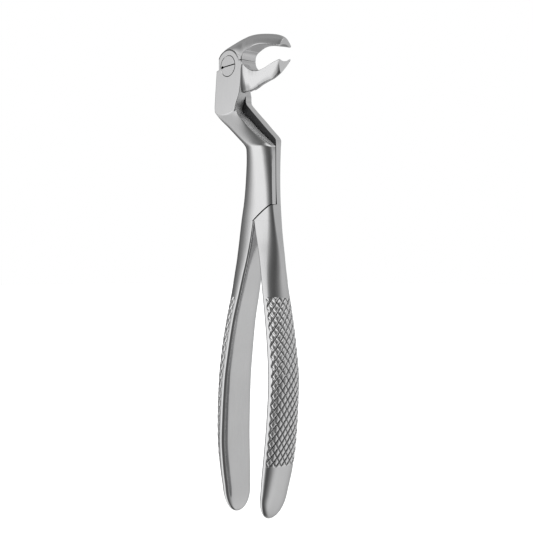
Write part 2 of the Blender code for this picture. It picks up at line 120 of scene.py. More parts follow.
# Both halves: depth from the mating plane of the crest, and of the flat side edges.
CREST = [
    (-6, 3.45), (-13.5, 3.25), (-16, 3.28), (-20, 3.6), (-25, 4.05), (-29.8, 4.45), (-30.6, 4.46),
    (-32, 4.3), (-36, 4.05), (-44, 3.7), (-52, 3.5), (-58, 3.6), (-64, 3.8), (-70, 4.25), (-82, 5.15),
    (-94, 5.8), (-105, 6.3), (-116, 6.7), (-127, 6.95), (-138, 7.1), (-146, 6.9), (-154.7, 6.25),
]
FRONT_SIDE = [
    (-9, 3.4), (-16, 3.4), (-20, 3.2), (-26, 2.8), (-29.5, 2.0), (-31.5, 1.4), (-36, 1.4), (-52, 1.4),
    (-60, 0.9), (-72, 0.0),
]
REAR_SIDE = [
    (-6, 2.9), (-14, 2.9), (-20, 3.1), (-26, 2.8), (-29.5, 2.0), (-31.5, 1.8), (-36, 1.75), (-52, 1.75),
    (-60, 1.3), (-74, 0.0),
]
# Both halves: how square a section is, and how far across an arm its crest lies.
BULGE_POWER = [(-6, 2.2), (-64, 2.2), (-90, 2.5), (-120, 2.9), (-150, 3.5), (-164.2, 3.6)]
RIDGE_SHARE = [(-9, 0.5), (-15, 0.45), (-19, 0.3), (-28.5, 0.3), (-31, 0.42), (-40, 0.47), (-52, 0.5)]
# Handles only: how far the rounding of the inner edges reaches from the inner face.
INNER_ROUND = [(-57.5, 0.4), (-70, 0.8), (-90, 1.3), (-120, 1.5), (-164.2, 1.6)]
# Arms only: how far their inner sides lean.
DRAFT = [(-9, 0.0), (-16.5, 0.0), (-19.5, 0.8), (-27, 0.9), (-30.5, 0.45), (-33, 0.15), (-57.5, 0.0)]

# ---- beaks, mm: (reach from the hinge axis, value) ----
# Seen along the hinge axis: the mouth's upper and lower line, then the outer lines.
UPPER_INNER = [
    (7.1, 2.6), (8.0, 3.9), (9.3, 4.7), (11.3, 5.35), (13.4, 5.8), (15.4, 5.9), (17.5, 5.7),
    (21.5, 4.85), (25.6, 3.85),
]
LOWER_INNER = [
    (6.95, 1.2), (7.8, -0.5), (9.3, -1.9), (11.4, -2.9), (13, -3.3), (15.5, -3.45), (17, -3.2),
    (19, -2.7), (21.5, -1.85), (25.6, -0.95),
]
UPPER_OUTER = [
    (9.2, 10.25), (11.8, 10.3), (14.4, 10.1), (18.5, 9.5), (22.0, 8.75), (24.6, 7.9), (26.1, 7.2),
]
LOWER_OUTER = [
    (5.0, -10.7), (7.9, -10.3), (10.6, -9.7), (14.5, -8.45), (19.6, -7.4), (22.2, -6.95), (24.6, -6.15),
    (25.85, -5.5),
]

# Seen along the hinge axis, (x, z): the corner where the upper root laps the lower, and the throat.
LAP_CORNER = [(5.38, 2.3), (5.5, 1.98), (5.68, 1.68), (5.94, 1.47), (6.3, SPLIT_Z - RUN_GAP)]
THROAT = [
    (11.2, 4.95), (9.3, 4.65), (8.0, 3.9), (7.35, 2.85), (7.2, 1.6), (7.3, 0.5), (7.8, -0.5),
    (9.3, -1.9), (11.2, -2.65),
]
THROAT_DEPTH = 9.0  # up to here the throat's cutter shapes the mouth
THROAT_EASE = 0.6  # over which the beaks' inner faces come free of it
THROAT_FILL = 1.0  # how far the beaks' roots reach into it before it is cut
THROAT_GROWTH = [(0.4, 1.42), (-0.08, 0.22), (-0.22, 0.08), (-0.45, 0.0)]  # past the cheek, and outwards
UPPER_REACH = 26.1  # beak tips from the hinge axis
LOWER_REACH = 25.85

# Each beak's half width, how square its section is, and how much it narrows towards its crest.
UPPER_HALF_WIDTH = [(-6.0, 3.78), (2.0, 3.77), (7.0, 3.62), (11.0, 3.36), (16.0, 3.12), (26.1, 3.0)]
LOWER_HALF_WIDTH = [
    (5.0, 3.6), (7.0, 3.52), (7.3, 3.42), (7.8, 3.31), (8.6, 3.21), (10.0, 3.13), (13.0, 3.08),
    (25.85, 2.95),
]
LOWER_POWER = [
    (5.0, 7.0), (7.0, 6.0), (7.5, 4.8), (8.5, 3.6), (10.5, 2.6), (13, 2.15), (16, 1.9), (20, 1.7),
    (26, 1.6),
]
LOWER_TAPER = [(7.0, 0.0), (10.0, 0.1), (14.0, 0.17), (20.0, 0.14), (26.0, 0.06)]
UPPER_TAPER = [(-6.0, 0.0), (6.0, 0.0), (12.0, 0.1), (18.0, 0.14), (26.1, 0.1)]
UPPER_POWER = [(-6.0, 2.6), (6.0, 2.4), (19, 2.2), (23, 1.9), (26.1, 1.7)]
LOWER_ROOT_X = 7.0  # from here, and over this length, the lower beak follows the cheek's right edge
LOWER_ROOT_BLEND = 6.0
LOWER_ROOT_EDGE = 7.05  # where that edge would stand if it were straight
LOWER_ROOT_START = 6.2  # inside the cheek
# How much higher the rear side of the lower beak's inner face lies.
LOWER_TILT = [(15, 0.0), (20, 0.35), (25.85, 0.75)]
BEAK_LIP = 0.25  # rounding along the edges of each beak's inner face, between these places
LIP_START = 9.0
LIP_FULL = 13.0
# Depth of the groove along each beak's inner face.
HOLLOW = [(8.0, 0.0), (14.0, 0.4), (20.0, 0.6), (26.1, 0.72)]
NOSE = 4.5  # how far from its end a beak's outside starts to round over
NOSE_DROP = 0.1  # shares of its height and of its width that it loses there
NOSE_NARROW = 0.05
NOSE_PINCH = 0.2  # and how much more it narrows towards its crest
# How far back the lower beak's crest stands, for its height.
BEAK_LEAN = [(13.0, 0.0), (19.0, 0.3), (25.85, 0.5)]

# Root of the upper beak: where its flanks start to round over, and its crest.
ROOT_BASE = [(-5.3, 2.0), (-4.4, 3.2), (-1.5, 4.8), (1.3, 5.0), (4.0, 4.3), (7.1, 2.6)]
ROOT_CREST = [(-5.3, 4.1), (-5.0, 5.0), (-4.2, 6.0), (-1.5, 7.2), (1.3, 8.15), (4.0, 9.1), (6.6, 9.85)]

# ---- joint, seen along the hinge axis, mm: (x, z) ----
EDGE_PROFILE = [(0.34, 0.0), (0.28, 0.009), (0.1, 0.055), (0.04, 0.11), (0.0, 0.22)]  # inset, depth
JOINT_LEFT = -5.05  # both discs are ground flat here
FRONT_DISC = (13.4, 188.0)  # degrees round the hinge axis where each disc's edge starts and ends
REAR_DISC = (15.2, -20.0)
ROOM_IN_FRONT_HALF = (OPENING - 19.0, 160.0)  # the same for the room that each half has for the other
ROOM_IN_REAR_HALF = (23.0, 154.0)
OPENING_ROOM = 1.0  # degrees past the opening that the room for the rear half's neck reaches
ROOT_END = 7.7  # how far each cheek reaches into its beak's root
SWING = 12.0  # half width of the space kept free for the other half
SWING_LOW = -30.0
REAR_NECK = [
    (5.55, -2.0), (5.3, -3.2), (4.9, -5.0), (4.7, -7.0), (5.1, -9.5), (5.55, -11.2), (5.75, -13.9),
    (7.9, -16.3),
]
CHEEK_LEFT = [(-5.05, -0.85), (-6.3, -1.2), (-6.55, -4.3), (-7.1, -9.9), (-7.45, -14.6)]
CHEEK_END = [(-7.3, -16.2), (-6.3, -17.3), (-4.3, -17.8), (-1.5, -17.9), (1.2, -17.55), (3.1, -16.95)]
CHEEK_RIGHT = [
    (3.75, -16.2), (4.1, -14.6), (5.45, -11.8), (6.1, -10.2), (6.6, -7.8), (6.95, -5.0), (7.1, -1.5),
]

# ---- detail that only the looks need, mm ----
KNURL_TOP = -84.8
KNURL_BOTTOM = -144.5
KNURL_EASE = 0.4  # the grooves' run-out at both of these ends
KNURL_MARGIN = 0.9  # left plain beside the ridge line of the handle
KNURL_FADE = 0.8  # the grooves' run-out towards it
KNURL_TALL = 3.4  # a diamond's height along the handle, and its width round it
KNURL_WIDE = 2.6
KNURL_DEPTH = {1: 0.3, -1: 0.5}  # of the front half's grooves and of the rear half's
KNURL_SUNK = 0.76  # the share of it that is below the handle's surface
GROOVE_SIDE = 0.17  # how far a groove's steep side reaches, as a share of the grooves' spacing
GROOVE_SIDE_RISE = 0.45  # and its share of a diamond's rise, the rest being a dome
SHALLOW = 0.8  # depth of the first set of grooves for that of the second
GROOVE_SHADE_FLOORS = (0.04, 0.075)  # half width of each set's floor that gets painted shade, as a share of their spacing
DISC_LINE = 0.2  # the gap that shows round a disc
LAP_LINE = 0.7  # the gap that shows where one arm's shoulder meets the other
EDGE_CHAMFER = 0.13  # along an arm's mating face
RIDGE_BACK = 0.5  # how far the crest stays from the crotch's line at the shoulder
SATIN_TOP = -9.5  # where the sides of the front cheek and of the front arm are satin
SATIN_CHEEK_LOW = -18.0
SATIN_LOW = -31.0
PUNCH_MARK = 0.55  # radius of the mark at the slot's end
PUNCH_PLACE = -2.9
PUNCH_DEPTH = 0.9

# ---- fineness ----
SIDE_POINTS = 84  # points across one side of a section
ARM_STEPS = [(-28.0, 0.7), (-29.8, 0.25), (-31.6, 0.12), (-34.0, 0.25), (SHOULDER_TOP, 1.0)]  # down to, by
SHOULDER_STEP = 0.3
HANDLE_STEP = 1.0
KNURL_STEP = 0.21
AT_ONCE = 0.01  # between two sections where the shape changes at once
BEAK_RINGS = 90
NOSE_RINGS = 24
BEAK_ROUND = 44  # steps round a beak's outside, and over half of its groove
BEAK_GROOVE = 10
SHARP_ANGLE = 32.0  # degrees


def smooth(knots, at):
    """The value at a place, on a modified Akima curve through the knots."""
    xs = np.array([k[0] for k in knots], float)
    ys = np.array([k[1] for k in knots], float)
    if xs[0] > xs[-1]:
        xs, ys = xs[::-1], ys[::-1]
    if at <= xs[0]:
        return float(ys[0])
    if at >= xs[-1]:
        return float(ys[-1])
    width = np.diff(xs)
    slope = np.diff(ys) / width
    second = slope[min(1, len(slope) - 1)]
    last_but_one = slope[max(-2, -len(slope))]
    before = [3 * slope[0] - 2 * second, 2 * slope[0] - second]
    after = [2 * slope[-1] - last_but_one, 3 * slope[-1] - 2 * last_but_one]
    m = np.array([*before, *slope, *after])
    change = np.abs(np.diff(m)) + np.abs(m[1:] + m[:-1]) / 2
    left = change[:-2]
    right = change[2:]
    total = left + right
    tangent = np.where(total > 1e-12, (right * m[1:-2] + left * m[2:-1]) / np.maximum(total, 1e-12), 0.0)
    i = int(np.searchsorted(xs, at)) - 1
    t = (at - xs[i]) / width[i]
    return float(
        (1 + 2 * t) * (1 - t) ** 2 * ys[i]
        + t * (1 - t) ** 2 * width[i] * tangent[i]
        + t * t * (3 - 2 * t) * ys[i + 1]
        + t * t * (t - 1) * width[i] * tangent[i + 1]
    )


def eased(value, low, high):
    """0 to 1, eased, as the value goes from low to high."""
    t = min(1.0, max(0.0, (value - low) / (high - low)))
    return t * t * (3 - 2 * t)


# ---- finishes ----
CLOUD_SCALE = 90.0
LINE_SHARE = 0.6  # of the pattern, the rest being clouds
PATTERN_RANGE = (0.3, 0.7)  # the values of the pattern that count
TONE_RANGE = (0.94, 1.04)
RELIEF_DEPTH = 0.0001  # metres


def node(tree, kind, **settings):
    """A new node with these settings."""
    made = tree.nodes.new(kind)
    for name, value in settings.items():
        setattr(made, name, value)
    return made


def feed(tree, socket, value):
    """Sets the socket to a number, or links it to another node's output."""
    if isinstance(value, (int, float)):
        socket.default_value = value
    else:
        tree.links.new(value, socket)


def math_node(tree, operation, *values):
    """The result of a sum on numbers and other nodes' outputs."""
    made = node(tree, "ShaderNodeMath", operation=operation)
    for socket, value in zip(made.inputs, values):
        feed(tree, socket, value)
    return made.outputs["Value"]


def noise(tree, vector, scale, detail, roughness):
    """The strength of a noise pattern at each place."""
    made = node(tree, "ShaderNodeTexNoise")
    made.inputs["Scale"].default_value = scale
    made.inputs["Detail"].default_value = detail
    made.inputs["Roughness"].default_value = roughness
    tree.links.new(vector, made.inputs["Vector"])
    return made.outputs["Fac"]


def steel(name, tint, rough_low, rough_high, grain, bump):
    """Steel with fine lines in roughness and relief, and soft cloudy changes of tone."""
    material = bpy.data.materials.new(name)
    material.use_nodes = True
    tree = material.node_tree
    shader = tree.nodes["Principled BSDF"]
    shader.inputs["Metallic"].default_value = 1.0
    place = node(tree, "ShaderNodeTexCoord").outputs["Object"]
    stretch = node(tree, "ShaderNodeMapping")
    stretch.inputs["Scale"].default_value = grain
    tree.links.new(place, stretch.inputs["Vector"])
    lines = noise(tree, stretch.outputs["Vector"], 1.0, 4.0, 0.65)
    clouds = noise(tree, place, CLOUD_SCALE, 3.0, 0.5)
    shade = math_node(tree, "MULTIPLY", clouds, 1 - LINE_SHARE)
    pattern = math_node(tree, "MULTIPLY_ADD", lines, LINE_SHARE, shade)
    rough = node(tree, "ShaderNodeMapRange")
    rough.inputs["From Min"].default_value = PATTERN_RANGE[0]
    rough.inputs["From Max"].default_value = PATTERN_RANGE[1]
    rough.inputs["To Min"].default_value = rough_low
    rough.inputs["To Max"].default_value = rough_high
    tree.links.new(pattern, rough.inputs["Value"])
    tree.links.new(rough.outputs["Result"], shader.inputs["Roughness"])
    ramp = node(tree, "ShaderNodeValToRGB")
    for element, position, tone in zip(ramp.color_ramp.elements, PATTERN_RANGE, TONE_RANGE):
        element.position = position
        element.color = (*[min(1.0, c * tone) for c in tint], 1)
    tree.links.new(pattern, ramp.inputs["Fac"])
    tree.links.new(ramp.outputs["Color"], shader.inputs["Base Color"])
    relief = node(tree, "ShaderNodeBump")
    relief.inputs["Strength"].default_value = bump
    relief.inputs["Distance"].default_value = RELIEF_DEPTH
    tree.links.new(lines, relief.inputs["Height"])
    tree.links.new(relief.outputs["Normal"], shader.inputs["Normal"])
    return material


EVEN_GRAIN = (2600, 2600, 2600)
COARSE_GRAIN = (2400, 2400, 2400)
polished = steel("polished_steel", (0.78, 0.78, 0.785), 0.10, 0.17, (2600, 2600, 160), 0.12)
# Rough, unpolished steel made far darker than such steel would look, which paints the shade of the narrow
# gap between the halves on their mating faces and on the arms' side walls at the shoulders.
relieved_painted_shade = steel("relieved_steel_painted_shade", (0.085, 0.085, 0.088), 0.45, 0.62, COARSE_GRAIN, 0.5)
# Paler than the polished steel, which paints the knurl's faces lighter and their highlights whiter.
knurled = steel("knurl_steel_painted_light", (0.97, 0.97, 0.975), 0.2, 0.3, EVEN_GRAIN, 0.15)
# Dark steel for the grooves' floors: painted shade in the knurl's hollows.
groove_painted_shade = steel("groove_steel_painted_shade", (0.2, 0.2, 0.205), 0.35, 0.5, EVEN_GRAIN, 0.3)
satin = steel("satin_steel", (0.86, 0.86, 0.865), 0.48, 0.6, EVEN_GRAIN, 0.2)
screw_finish = steel("screw_steel", (0.76, 0.76, 0.765), 0.13, 0.2, COARSE_GRAIN, 0.1)
slot_shade = steel("slot_shade", (0.05, 0.05, 0.05), 0.6, 0.8, COARSE_GRAIN, 0.3)
FINISHES = [polished, relieved_painted_shade, knurled, groove_painted_shade, satin]
POLISHED, RELIEVED_PAINTED_SHADE, KNURL_PAINTED_LIGHT, GROOVE_PAINTED_SHADE, SATIN = range(len(FINISHES))


# ---- solids ----
def weld(mesh, distance, outwards=False):
    """Joins points closer than this, drops the faces that vanish, and may turn every face outwards."""
    work = bmesh.new()
    work.from_mesh(mesh)
    bmesh.ops.remove_doubles(work, verts=work.verts, dist=distance)
    bmesh.ops.dissolve_degenerate(work, edges=work.edges, dist=distance)
    if outwards:
        bmesh.ops.recalc_face_normals(work, faces=work.faces)
    work.to_mesh(mesh)
    work.free()


def mesh_object(name, points, faces, marks=None):
    """An object from points in mm from the hinge axis. marks holds each face's finish."""
    mesh = bpy.data.meshes.new(name)
    metres = [((x + PIVOT_X) / 1000, y / 1000, (z + PIVOT_Z) / 1000) for x, y, z in points]
    mesh.from_pydata(metres, [], faces)
    for finish in FINISHES:
        mesh.materials.append(finish)
    if marks:
        mesh.polygons.foreach_set("material_index", marks)
    weld(mesh, 1e-6, outwards=True)
    obj = bpy.data.objects.new(name, mesh)
    bpy.context.scene.collection.objects.link(obj)
    return obj


def loft(name, rings, marks=None):
    """A closed solid through rings of points, with flat ends. marks holds its side faces' finishes."""
    count = len(rings[0])
    points = [p for ring in rings for p in ring]
    faces = [list(range(count)), list(range(len(points) - 1, len(points) - 1 - count, -1))]
    for k in range(len(rings) - 1):
        for i in range(count):
            j = (i + 1) % count
            faces.append([k * count + i, k * count + j, (k + 1) * count + j, (k + 1) * count + i])
    return mesh_object(name, points, faces, [POLISHED, POLISHED, *marks] if marks else None)


def inset(outline, by):
    """The closed outline, drawn in by this much."""
    pts = [np.array(p, float) for p in outline]
    area = sum(a[0] * b[1] - b[0] * a[1] for a, b in zip(pts, [*pts[1:], pts[0]]))
    out = []
    for a, b, c in zip([pts[-1], *pts[:-1]], pts, [*pts[1:], pts[0]]):
        first = (b - a) / np.linalg.norm(b - a)
        second = (c - b) / np.linalg.norm(c - b)
        normal = np.array([-(first + second)[1], (first + second)[0]]) * math.copysign(1, area)
        normal /= max(1e-9, np.linalg.norm(normal))
        side = np.array([-first[1], first[0]]) * math.copysign(1, area)
        out.append(b + normal * by / max(0.5, float(normal @ side)))
    return [(float(p[0]), float(p[1])) for p in out]


def slab(name, outline, y_low, y_high, bevel_low=False, bevel_high=False):
    """An outline in (x, z), carried from one y to another, with softened edges where asked for."""
    plain = [(0.0, 0.0)]
    sections = [(y_low + depth, by) for by, depth in (EDGE_PROFILE if bevel_low else plain)]
    sections += [(y_high - depth, by) for by, depth in (EDGE_PROFILE[::-1] if bevel_high else plain)]
    rings = []
    for y, by in sections:
        rings.append([(x, y, z) for x, z in (inset(outline, by) if by else outline)])
    return loft(name, rings)


def arc(radius, first, last, steps=160):
    """Points of an arc round the origin, from one angle to another, in degrees."""
    turns = [math.radians(first + (last - first) * i / steps) for i in range(steps + 1)]
    return [(radius * math.cos(t), radius * math.sin(t)) for t in turns]


def rounded(points, steps=10):
    """A smooth curve through the points, as a finer list of points."""
    pts = [np.array(p, float) for p in points]
    pts = [2 * pts[0] - pts[1], *pts, 2 * pts[-1] - pts[-2]]
    out = []
    for a, b, c, d in zip(pts, pts[1:], pts[2:], pts[3:]):
        for i in range(steps):
            t = i / steps
            cubic = (3 * b - a - 3 * c + d) * t**3
            out.append(0.5 * (2 * b + (c - a) * t + (2 * a - 5 * b + 4 * c - d) * t**2 + cubic))
    return [(float(p[0]), float(p[1])) for p in [*out, pts[-2]]]


def cut(target, tool, operation="DIFFERENCE"):
    """Cuts the tool from the target, or joins it on."""
    step = target.modifiers.new(tool.name, "BOOLEAN")
    step.operation = operation
    step.solver = "EXACT"
    step.object = tool


def apply_modifiers(body):
    """Gives the body the mesh that its modifiers make."""
    bpy.context.view_layer.update()
    graph = bpy.context.evaluated_depsgraph_get()
    body.data = bpy.data.meshes.new_from_object(body.evaluated_get(graph))
    body.modifiers.clear()


def finished(body, tools_before):
    """Applies a body's modifiers, removes the objects that shaped it and sets its sharp edges."""
    apply_modifiers(body)
    for obj in set(bpy.data.objects) - tools_before - {body}:
        bpy.data.objects.remove(obj, do_unlink=True)
    weld(body.data, 2e-6)
    body.data.shade_smooth()
    body.data.set_sharp_from_angle(angle=math.radians(SHARP_ANGLE))
    weigh = body.modifiers.new("weigh", "WEIGHTED_NORMAL")
    weigh.keep_sharp = True
    apply_modifiers(body)
    return body


# ---- arms and handles ----
SHOULDER_CURVE = 0.9  # how the edge of the shoulder curves from its top to the crotch
END_POWER = 2.2  # how square a handle's end is
RISE_POWER = 2.1  # how square a section is across, outside its crest and inside it
FALL_POWER = 2.0
HANDLE_INNER_POWER = 6.0  # and how square a handle is towards its inner face
MATE_POINTS = 5  # points across a mating face


def quarter(width, height, across, up, steps=120):
    """A quarter of a superellipse, from its foot at (0, 0) to its crest, with its two powers."""
    turns = np.linspace(0, math.pi / 2, steps)
    out = width * (1 - np.cos(turns) ** (2 / across))
    return np.stack([out, height * np.sin(turns) ** (2 / up)], axis=1)


def distances(line):
    """The distance of each of the line's points along it."""
    step = np.linalg.norm(np.diff(line, axis=0), axis=1)
    return np.concatenate([[0], np.cumsum(step)])


def evenly(line, count):
    """The line as this many points at equal distances, and their distance along it."""
    along = distances(line)
    at = np.linspace(0, along[-1], count)
    return np.stack([np.interp(at, along, line[:, 0]), np.interp(at, along, line[:, 1])], axis=1), at


def trimmed(line, x_end):
    """The part of the line up to this x."""
    if x_end >= line[-1, 0]:
        return line
    keep = line[line[:, 0] < x_end]
    y = float(np.interp(x_end, line[:, 0], line[:, 1]))
    return np.concatenate([keep, [[x_end, y]]])


def into_shoulder(level):
    """0 above the shoulder, 1 at the crotch and below."""
    return min(1.0, max(0.0, (SHOULDER_TOP - level) / (SHOULDER_TOP - CROTCH)))


def shoulder_x(level, top_x):
    """Where the edge of the shoulder lies at this level."""
    return top_x + (CROTCH_X - top_x) * into_shoulder(level) ** SHOULDER_CURVE


def end_share(level):
    """How much of its size a handle keeps at this level."""
    into = (HANDLE_END + END_ROUND - level) / END_ROUND
    return 1.0 if into <= 0 else math.sqrt(max(0.0, 1 - into**END_POWER))


def diamond(near):
    """A diamond's rise, 0 to 1, this far from a groove's middle, as a share of the grooves' spacing."""
    steep = np.clip(near / GROOVE_SIDE, 0, 1) ** 0.7
    return GROOVE_SIDE_RISE * steep + (1 - GROOVE_SIDE_RISE) * np.sin(near * math.pi)


def knurl(points, along, level, reach, depth):
    """Points of one side of a handle's section, cut with two crossing sets of grooves, and finishes:
    painted shade on the grooves' floors, and a paler steel, painted light, on the rest of the knurl.
    """
    strength = eased(level, KNURL_BOTTOM, KNURL_BOTTOM + KNURL_EASE)
    strength *= eased(-level, -KNURL_TOP, -KNURL_TOP + KNURL_EASE)
    if strength <= 0:
        return points, [POLISHED] * len(points)
    across = along / KNURL_WIDE
    up = level / KNURL_TALL
    first = np.abs((across + up + 0.5) % 1 - 0.5)
    second = np.abs((across - up + 0.5) % 1 - 0.5)
    fade = np.clip((reach - np.abs(along)) / KNURL_FADE, 0, 1)
    height = np.minimum(1 - SHALLOW * (1 - diamond(first)), diamond(second))
    height = (height - KNURL_SUNK) * depth * fade * strength
    tangent = np.gradient(points, axis=0)
    normal = np.stack([-tangent[:, 1], tangent[:, 0]], axis=1)
    normal /= np.maximum(np.linalg.norm(normal, axis=1, keepdims=True), 1e-9)
    # A groove's floor gets painted shade, the rest of the knurl the paler steel that paints it lighter.
    in_groove_shade = (first < GROOVE_SHADE_FLOORS[0]) | (second < GROOVE_SHADE_FLOORS[1])
    marks = np.where(fade > 0.1, np.where(in_groove_shade, GROOVE_PAINTED_SHADE, KNURL_PAINTED_LIGHT), POLISHED)
    return points + normal * height[:, None], marks.tolist()


def half_section(level, outer, arm_inner, handle_inner, side):
    """One level of a half, as a closed ring, and its finishes.

    side is 1 for the front half and -1 for the rear one, which is turned round Z. The ring runs over the
    crest to the inner edge, back along the mating face, and from the shoulder down over the far side too.
    """
    outer_x = side * smooth(outer, level)
    crest = smooth(CREST, level)
    power = smooth(BULGE_POWER, level)
    flat = smooth(FRONT_SIDE if side > 0 else REAR_SIDE, level)
    in_handle = level <= CROTCH
    if in_handle:
        full_inner = side * smooth(handle_inner, level)
        ridge = full_inner - smooth(INNER_ROUND, level)
        inner_flat = 0.0
        inner_power = HANDLE_INNER_POWER
        lean_in = 0.0
        own_inner = other_inner = full_inner
    else:
        full_inner = side * smooth(arm_inner, level)
        middle = outer_x + (full_inner - outer_x) * smooth(RIDGE_SHARE, level)
        ridge = middle + (side * CROTCH_X - RIDGE_BACK - middle) * into_shoulder(level)
        inner_flat = flat
        inner_power = power
        lean_in = smooth(DRAFT, level)
        own_inner = min(full_inner, side * shoulder_x(level, side * full_inner) - LAP_LINE)
        other_inner = side * shoulder_x(level, side * outer_x) - LAP_GAP
        other_inner = min(side * CROTCH_X, max(outer_x, other_inner))
        if level > SHOULDER_TOP:
            own_inner = full_inner
            other_inner = outer_x
    share = end_share(level)
    if share < 1.0:
        centre = (outer_x + full_inner) / 2
        outer_x, full_inner, ridge = (centre + (v - centre) * share for v in (outer_x, full_inner, ridge))
        own_inner = other_inner = full_inner
        crest *= share
    rise = quarter(ridge - outer_x, crest - flat, RISE_POWER, power) + [outer_x, flat]
    foot = full_inner - lean_in
    fall = quarter(foot - ridge, crest - inner_flat, FALL_POWER, inner_power)
    fall = fall * [-1, 1] + [foot, inner_flat]
    line = np.concatenate([rise, fall[::-1][1:]])
    mate = 0.0 if in_handle else -LAP_GAP
    chamfer = 0.0 if in_handle else EDGE_CHAMFER
    reach = distances(rise)[-1] - KNURL_MARGIN
    near, along = evenly(trimmed(line, own_inner), SIDE_POINTS)
    near, marks = knurl(near, along, level, reach, KNURL_DEPTH[side])
    # At the shoulders the arm's side walls take the dark rough steel, which paints the shade between the
    # halves there.
    wall = RELIEVED_PAINTED_SHADE if CROTCH < level <= SHOULDER_TOP else POLISHED
    marks[-1] = SATIN if side > 0 and level > SATIN_LOW else wall
    points = [(x, -max(y, chamfer - mate)) for x, y in near]
    if in_handle:
        points[-1] = (own_inner, points[-1][1])
    points.append((own_inner, mate - chamfer))
    first = own_inner - chamfer
    points += [(first + (other_inner - first) * i / (MATE_POINTS - 1), mate) for i in range(MATE_POINTS)]
    marks += [*[POLISHED] * MATE_POINTS, wall]
    if other_inner > outer_x:
        far, along = evenly(trimmed(line, other_inner), SIDE_POINTS)
        far, far_marks = knurl(far, -along, level, reach, KNURL_DEPTH[side])
        points += [(x, y) for x, y in far[::-1]]
        marks += far_marks[::-1]
    else:
        points += [(outer_x, mate)] * SIDE_POINTS
        marks += [POLISHED] * SIDE_POINTS
    return [(side * x, side * y, level) for x, y in points], marks


def levels(top):
    """Levels from an arm's top down to the handle's end, closer where the shape turns or is knurled."""
    out = []
    for low, step in ARM_STEPS:
        out += list(np.arange(top, low, -step))
        top = low
    out += [SHOULDER_TOP + AT_ONCE, SHOULDER_TOP - AT_ONCE]
    out += list(np.arange(SHOULDER_TOP - SHOULDER_STEP, CROTCH, -SHOULDER_STEP))
    out += [CROTCH + AT_ONCE, CROTCH - AT_ONCE]
    out += list(np.arange(CROTCH - HANDLE_STEP, KNURL_TOP, -HANDLE_STEP))
    out += list(np.arange(KNURL_TOP, KNURL_BOTTOM - KNURL_STEP, -KNURL_STEP))
    end = HANDLE_END + END_ROUND
    out += list(np.arange(KNURL_BOTTOM - HANDLE_STEP, end, -HANDLE_STEP))
    return out + [end - END_ROUND * math.sin(math.radians(a)) for a in np.linspace(2, 89.6, 26)]


def arm_and_handle(name, outer, arm_inner, handle_inner, side):
    """The loft of one half, from the top of its arm to its handle's end."""
    sections = [half_section(z, outer, arm_inner, handle_inner, side) for z in levels(outer[0][0])]
    marks = [mark for _, ring_marks in sections[:-1] for mark in ring_marks]
    return loft(name, [ring for ring, _ in sections], marks)


# ---- beaks ----
def d_ring(x, base, crest, half, power, taper, place, tilt=0.0):
    """One section of a beak, its round side away from the mouth and a groove along its inner face.

    Within the throat the inner face is filled up, for the throat's cutter to shape.
    """
    up = math.copysign(1.0, crest - base)
    filled = min(1.0, max(0.0, (THROAT_DEPTH - x) / THROAT_EASE))
    if up > 0:
        floor = max(base - THROAT_FILL, SPLIT_Z + RUN_GAP)
    else:
        floor = min(base + THROAT_FILL, SPLIT_Z - RUN_GAP)
    lip = BEAK_LIP * eased(x, LIP_START, LIP_FULL)
    ring = []
    for i in range(BEAK_ROUND + 1):
        turn = math.pi * i / BEAK_ROUND
        out = abs(math.sin(turn)) ** (2 / power)
        across = -half * math.copysign(abs(math.cos(turn)) ** (2 / power), math.cos(turn))
        start = base + up * lip + tilt * (1 + across / half) / 2 * (1 - out)
        narrow = 1 - taper * abs(crest - base) * out / half
        ring.append((across * narrow, start + (crest - base - up * lip) * out))
    edge = half - lip
    hollow = up * smooth(HOLLOW, x)
    for i in range(2 * BEAK_GROOVE + 1):
        across = edge * (1 - i / BEAK_GROOVE)
        open_z = base + tilt * (1 + across / half) / 2 + hollow * (1 - (across / edge) ** 2)
        ring.append((across, open_z + (floor - open_z) * filled))
    return [(place(x, z), y, z) for y, z in ring]


def nose(x, reach):
    """How much of its height and width a beak keeps at this distance, and how much more it narrows."""
    into = max(0.0, (x - (reach - NOSE)) / NOSE)
    turn = 1 - math.sqrt(max(0.0, 1 - into**2))
    return 1 - NOSE_DROP * turn, 1 - NOSE_NARROW * into**6, NOSE_PINCH * turn


def beak_stations(reach):
    """Where a beak's sections lie, from the throat's end to its tip."""
    body = np.linspace(THROAT_DEPTH + AT_ONCE, reach - NOSE, BEAK_RINGS)
    turns = np.radians(np.linspace(4, 89.5, NOSE_RINGS))
    return [*body, *(reach - NOSE * (1 - math.sin(turn)) for turn in turns)]


def lower_beak():
    """The lower beak, whose root follows the slanted edge of the front cheek."""
    edge = [(z, x) for x, z in CHEEK_RIGHT]

    def place(x, z):
        nearing = max(0.0, 1 - max(0.0, x - LOWER_ROOT_X) / LOWER_ROOT_BLEND) ** 2
        lean = smooth(BEAK_LEAN, x) * max(0.0, smooth(LOWER_INNER, x) - z)
        return x + (smooth(edge, z) - LOWER_ROOT_EDGE) * nearing - lean

    rings = []
    for x in [LOWER_ROOT_START, *np.linspace(LOWER_ROOT_X, THROAT_DEPTH, 20), *beak_stations(LOWER_REACH)]:
        tall, wide, pinch = nose(x, LOWER_REACH)
        base = smooth(LOWER_INNER, x)
        crest = base + (smooth(LOWER_OUTER, x) - base) * tall
        half = smooth(LOWER_HALF_WIDTH, x) * wide
        tilt = smooth(LOWER_TILT, x)
        taper = smooth(LOWER_TAPER, x) + pinch
        rings.append(d_ring(x, base, crest, half, smooth(LOWER_POWER, x), taper, place, tilt))
    return loft("lower_beak_form", rings)


